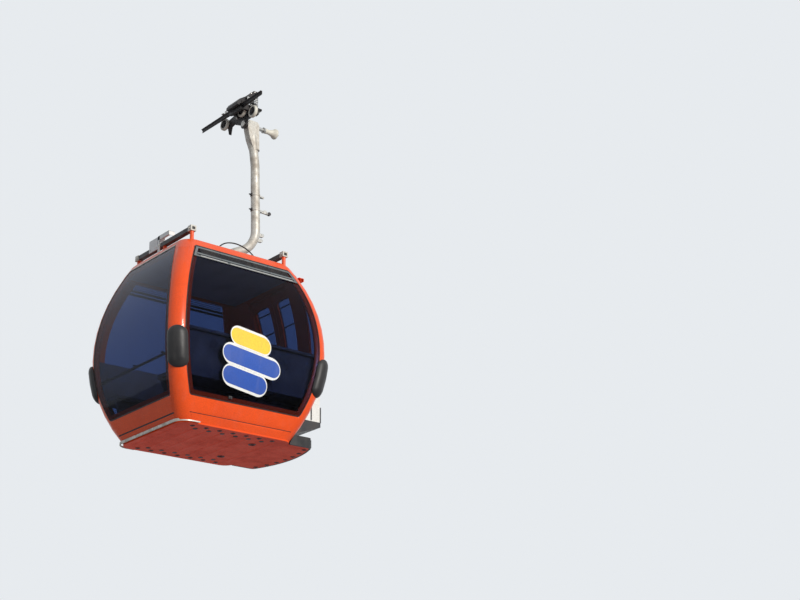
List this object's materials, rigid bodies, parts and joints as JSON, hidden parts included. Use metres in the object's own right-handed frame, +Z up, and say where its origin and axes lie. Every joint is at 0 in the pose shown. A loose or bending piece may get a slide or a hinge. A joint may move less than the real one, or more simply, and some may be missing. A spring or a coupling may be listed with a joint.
{
  "type": "gondola cabin with its hanger and rope grip",
  "caption": "Bulged, glazed cableway cabin with sliding doors and ski racks, hanging from a rope grip by a bent tube.",
  "frame": {"origin": "on the rope's axis, in the middle of the grip's jaws", "axes": "+X the way the cabin travels, along the rope; +Y towards the side with the doors; +Z up"},
  "size_m": [2.0072, 2.4694, 4.739],
  "materials": {
    "tinted_glass": "tinted, glossy",
    "orange_paint": "gloss",
    "dark_liner": "satin",
    "floor_cover": "ribbed",
    "dark_rubber": "satin",
    "dark_steel": "satin black",
    "white_board": "satin",
    "galvanised_steel": "hot-dip galvanised",
    "grey_frame": "satin",
    "bench_plastic": "moulded",
    "bright_steel": "satin",
    "pale_roller": "cast polyurethane",
    "black_casting": "painted black"
  },
  "bodies": {
    "grip": {"grip_frame": "black_casting", "fixed_jaw": "black_casting", "rope_tongues": "black_casting", "grip_springs": "bright_steel"},
    "grip_lever": {"grip_lever": "black_casting"},
    "grip_wheel_rear": {"grip_wheel_rear": "pale_roller"},
    "grip_wheel_middle": {"grip_wheel_middle": "pale_roller"},
    "grip_wheel_front": {"grip_wheel_front": "pale_roller"},
    "guide_roller": {"guide_roller": "pale_roller"},
    "door_front": {"door_leaf_front": "orange_paint", "door_glass_front": "tinted_glass", "ski_rack_front": "dark_steel", "ski_dividers_front": "white_board"},
    "door_rear": {"door_leaf_rear": "orange_paint", "door_glass_rear": "tinted_glass", "ski_rack_rear": "dark_steel", "ski_dividers_rear": "white_board"},
    "hanger": {"window_front": "tinted_glass", "window_rear": "tinted_glass", "window_left": "tinted_glass", "panes_door_side": "tinted_glass", "roof_shell": "orange_paint", "skirt_front": "orange_paint", "skirt_rear": "orange_paint", "skirt_left": "orange_paint", "door_frame": "orange_paint", "post_front_left": "orange_paint", "post_front_right": "orange_paint", "post_rear_left": "orange_paint", "post_rear_right": "orange_paint", "floor_pan": "orange_paint", "sill_plates": "orange_paint", "rail_feet": "orange_paint", "ceiling": "dark_liner", "floor_board": "floor_cover", "sill_edge": "dark_rubber", "door_track": "dark_steel", "bumpers": "dark_rubber", "roof_rails": "dark_steel", "rail_caps": "galvanised_steel", "vent_front": "grey_frame", "vent_rear": "grey_frame", "guide_bar": "galvanised_steel", "bench_front": "bench_plastic", "bench_rear": "bench_plastic", "window_rail": "dark_steel", "hanger_tube": "galvanised_steel", "hanger_foot": "dark_steel", "hanger_head": "galvanised_steel", "tube_bands": "galvanised_steel", "pivot_shaft": "bright_steel"}
  },
  "joints": [
    {"name": "hanger_swing", "type": "hinge", "parent": "grip", "child": "hanger", "pos_m": [0, 0.25, -0.178], "axis": [0, 1, 0], "range_deg": [-25, 25]},
    {"name": "jaw_open", "type": "hinge", "parent": "grip", "child": "grip_lever", "pos_m": [0, 0.085, 0.108], "axis": [-1, 0, 0], "range_deg": [0, 12], "stiffness_Nm_per_rad": 300, "springref_deg": -20.05, "deforming": ["grip_springs"]},
    {"name": "grip_wheel_rear_spin", "type": "hinge", "parent": "grip", "child": "grip_wheel_rear", "pos_m": [-0.4, 0.104, -0.036], "axis": [0, 1, 0], "continuous": true},
    {"name": "grip_wheel_middle_spin", "type": "hinge", "parent": "grip", "child": "grip_wheel_middle", "pos_m": [-0.007, 0.104, -0.001], "axis": [0, 1, 0], "continuous": true},
    {"name": "grip_wheel_front_spin", "type": "hinge", "parent": "grip", "child": "grip_wheel_front", "pos_m": [0.24, 0.104, -0.109], "axis": [0, 1, 0], "continuous": true},
    {"name": "guide_roller_spin", "type": "hinge", "parent": "hanger", "child": "guide_roller", "pos_m": [0, 0.53, -0.178], "axis": [0, 1, 0], "continuous": true},
    {"name": "door_front_slide", "type": "slide", "parent": "hanger", "child": "door_front", "axis": [1, 0, 0], "range_m": [0, 0.31]},
    {"name": "door_rear_slide", "type": "slide", "parent": "hanger", "child": "door_rear", "axis": [-1, 0, 0], "range_m": [0, 0.31]}
  ],
  "couplings": [
    {"joint": "door_rear_slide", "follows": "door_front_slide", "ratio": 1}
  ]
}
